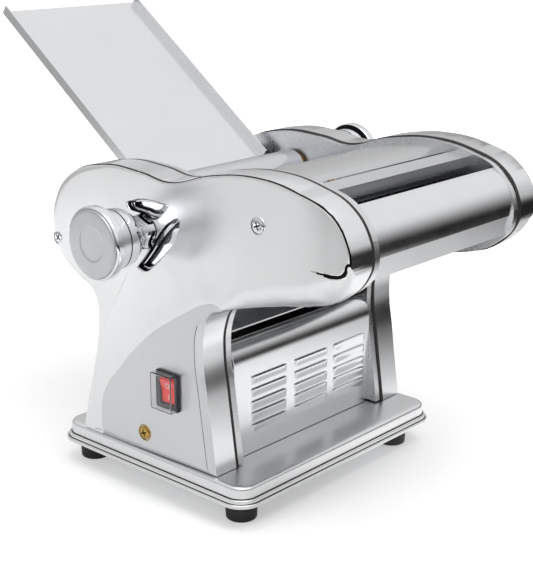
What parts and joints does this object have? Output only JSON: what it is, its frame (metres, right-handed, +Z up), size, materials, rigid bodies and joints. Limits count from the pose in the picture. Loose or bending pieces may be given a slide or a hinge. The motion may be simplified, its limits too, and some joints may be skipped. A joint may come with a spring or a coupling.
{
  "type": "electric pasta maker",
  "caption": "Electric pasta maker: polished steel side covers, motor-driven dough rollers, thickness knob, noodle cutters, louvred front panel, rocker switch and a leaning dough chute.",
  "frame": {"origin": "on the table, under the middle of the bounding box", "axes": "+X along the rollers, away from the thickness knob and the switch; +Y to the back, where the chute leans; +Z up. Noodles come out at -Y."},
  "size_m": [0.311, 0.3769, 0.3366],
  "materials": {
    "polished_steel": "mirror-polished stainless sheet",
    "satin_steel": "satin stainless sheet",
    "zinc_steel": "zinc plated",
    "gear_steel": "cut and oiled",
    "roller_steel": "ground and hard chromed",
    "cutter_steel": "turned",
    "knob_chrome": "chrome plated",
    "knob_disc": "satin",
    "brass": "plain",
    "bronze": "sintered",
    "black_rubber": "moulded",
    "motor_paint": "black enamel",
    "cast_alloy": "die cast",
    "black_plastic": "moulded",
    "white_plastic": "moulded",
    "red_plastic": "moulded",
    "clear_vinyl": "clear"
  },
  "bodies": {
    "frame": {"adjuster_bracket": "zinc_steel", "base_tray": "polished_steel", "bottom_plate": "zinc_steel", "brass_cover_screws": "brass", "bushes": "bronze", "chrome_cover_screws": "knob_chrome", "cover_pillars": "zinc_steel", "far_cover": "polished_steel", "far_frame_plate": "satin_steel", "feed_guides": "satin_steel", "foot_screws": "zinc_steel", "front_cover": "polished_steel", "gear_axles": "zinc_steel", "gearbox_case": "cast_alloy", "index_plate": "polished_steel", "louvred_panel": "polished_steel", "middle_cover": "polished_steel", "motor_can": "motor_paint", "motor_cradle": "black_plastic", "near_cover": "polished_steel", "near_frame_plate": "satin_steel", "noodle_combs": "satin_steel", "power_inlet": "black_plastic", "rear_cover": "polished_steel", "rear_panel": "satin_steel", "rod_screws": "zinc_steel", "rubber_feet": "black_rubber", "run_capacitor": "white_plastic", "sheet_slide": "polished_steel", "switch_body": "black_plastic", "switch_cover": "clear_vinyl", "terminal_block": "white_plastic", "tie_rods": "zinc_steel"},
    "output": {"output_gear": "gear_steel"},
    "idler": {"idler_gear": "gear_steel"},
    "bull": {"bull_gear": "gear_steel"},
    "rear_roller": {"rear_roller": "roller_steel", "rear_roller_gears": "gear_steel", "hand_knob": "knob_chrome", "hand_knob_cap": "knob_disc"},
    "carriage": {"bearing_blocks": "bronze", "carriage_bar": "zinc_steel"},
    "front_roller": {"front_roller": "roller_steel", "front_roller_gear": "gear_steel"},
    "adjuster": {"adjuster_spindle": "zinc_steel", "spindle_nut": "zinc_steel", "knob_spring": "zinc_steel"},
    "knob": {"gap_knob": "knob_chrome", "gap_knob_cap": "knob_disc", "detent_pin": "zinc_steel"},
    "wide_front": {"wide_front_cutter": "cutter_steel", "wide_front_gear": "gear_steel"},
    "wide_rear": {"wide_rear_cutter": "cutter_steel", "wide_rear_gears": "gear_steel"},
    "narrow_front": {"narrow_front_cutter": "cutter_steel", "narrow_front_gears": "gear_steel"},
    "narrow_rear": {"narrow_rear_cutter": "cutter_steel", "narrow_rear_gears": "gear_steel"},
    "rocker": {"rocker": "red_plastic"},
    "chute": {"dough_chute": "polished_steel"}
  },
  "joints": [
    {"name": "output_spin", "type": "hinge", "parent": "frame", "child": "output", "pos_m": [0, -0.025, 0.084], "axis": [1, 0, 0], "continuous": true},
    {"name": "idler_spin", "type": "hinge", "parent": "frame", "child": "idler", "pos_m": [0, -0.02228, 0.12591], "axis": [1, 0, 0], "continuous": true},
    {"name": "bull_spin", "type": "hinge", "parent": "frame", "child": "bull", "pos_m": [0, -0.04126, 0.18913], "axis": [1, 0, 0], "continuous": true},
    {"name": "rear_roller_spin", "type": "hinge", "parent": "frame", "child": "rear_roller", "pos_m": [0, 0.01246, 0.2123], "axis": [1, 0, 0], "continuous": true},
    {"name": "front_roller_spin", "type": "hinge", "parent": "carriage", "child": "front_roller", "pos_m": [0, -0.01447, 0.19798], "axis": [1, 0, 0], "continuous": true},
    {"name": "wide_front_spin", "type": "hinge", "parent": "frame", "child": "wide_front", "pos_m": [0, -0.171, 0.205], "axis": [1, 0, 0], "continuous": true},
    {"name": "wide_rear_spin", "type": "hinge", "parent": "frame", "child": "wide_rear", "pos_m": [0, -0.147, 0.205], "axis": [1, 0, 0], "continuous": true},
    {"name": "narrow_front_spin", "type": "hinge", "parent": "frame", "child": "narrow_front", "pos_m": [0, -0.12, 0.205], "axis": [1, 0, 0], "continuous": true},
    {"name": "narrow_rear_spin", "type": "hinge", "parent": "frame", "child": "narrow_rear", "pos_m": [0, -0.096, 0.205], "axis": [1, 0, 0], "continuous": true},
    {"name": "gap_slide", "type": "slide", "parent": "frame", "child": "carriage", "axis": [0, 0.8829, 0.4695], "range_m": [0, 0.0022]},
    {"name": "knob_turn", "type": "hinge", "parent": "frame", "child": "adjuster", "pos_m": [-0.0846, -0.0135, 0.1985], "axis": [1, 0, 0], "range_deg": [0, 180]},
    {"name": "knob_pull", "type": "slide", "parent": "adjuster", "child": "knob", "axis": [-1, 0, 0], "range_m": [0, 0.003], "stiffness_N_per_m": 900, "springref_m": -0.003, "deforming": ["knob_spring"]},
    {"name": "rocker_tilt", "type": "hinge", "parent": "frame", "child": "rocker", "pos_m": [-0.104, -0.034, 0.088], "axis": [0, 1, 0], "range_deg": [0, 18]},
    {"name": "chute_lift", "type": "slide", "parent": "frame", "child": "chute", "axis": [0, 0.7968, 0.6043], "range_m": [0, 0.06]}
  ],
  "couplings": [
    {"joint": "rear_roller_spin", "follows": "bull_spin", "ratio": -2.5455},
    {"joint": "front_roller_spin", "follows": "bull_spin", "ratio": 2.5455},
    {"joint": "narrow_rear_spin", "follows": "bull_spin", "ratio": -2.8},
    {"joint": "narrow_front_spin", "follows": "bull_spin", "ratio": 2.8},
    {"joint": "wide_rear_spin", "follows": "bull_spin", "ratio": -2.8},
    {"joint": "wide_front_spin", "follows": "bull_spin", "ratio": 2.8},
    {"joint": "idler_spin", "follows": "bull_spin", "ratio": -1.75},
    {"joint": "output_spin", "follows": "bull_spin", "ratio": 2.3333},
    {"joint": "knob_turn", "follows": "gap_slide", "rad_per_m": 1428}
  ]
}
